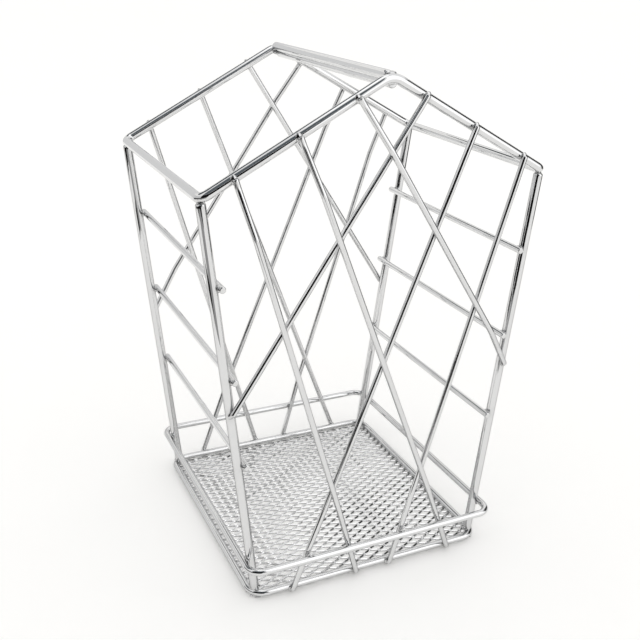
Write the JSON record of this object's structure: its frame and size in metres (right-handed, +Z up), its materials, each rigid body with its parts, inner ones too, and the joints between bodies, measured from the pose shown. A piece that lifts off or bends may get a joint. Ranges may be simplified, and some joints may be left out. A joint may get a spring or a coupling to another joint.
{
  "type": "utensil holder",
  "caption": "House-shaped open wire utensil holder: gabled rim with a ridge, leaning corner posts, crossed struts, side rungs and an expanded mesh floor on a round-cornered ring.",
  "frame": {"origin": "centre of the footprint at the height of the floor's underside", "axes": "+Z up, +X to the right seen from the front gable, +Y from the front gable to the back gable along the ridge"},
  "size_m": [0.1252, 0.111, 0.1809],
  "materials": {
    "plated_frame": "bright plating over drawn steel wire",
    "plated_ring": "bright plating over drawn steel wire",
    "plated_strut": "bright plating over drawn steel wire",
    "plated_mesh": "bright plating over flattened expanded steel sheet"
  },
  "bodies": {
    "root": {"rim_frame": "plated_frame", "ridge_upper_bar": "plated_frame", "ridge_lower_bar": "plated_frame", "corner_post_front_left": "plated_frame", "corner_post_front_right": "plated_frame", "corner_post_back_left": "plated_frame", "corner_post_back_right": "plated_frame", "guard_ring": "plated_ring", "base_ring": "plated_ring", "floor_mesh": "plated_mesh", "front_strut_1": "plated_strut", "front_strut_2": "plated_strut", "front_strut_3": "plated_strut", "front_strut_4": "plated_strut", "front_strut_5": "plated_strut", "front_strut_6": "plated_strut", "back_strut_1": "plated_strut", "back_strut_2": "plated_strut", "back_strut_3": "plated_strut", "back_strut_4": "plated_strut", "back_strut_5": "plated_strut", "back_strut_6": "plated_strut", "left_rung_upper": "plated_strut", "left_rung_middle": "plated_strut", "left_rung_lower": "plated_strut", "right_rung_upper": "plated_strut", "right_rung_middle": "plated_strut", "right_rung_lower": "plated_strut"}
  },
  "joints": []
}
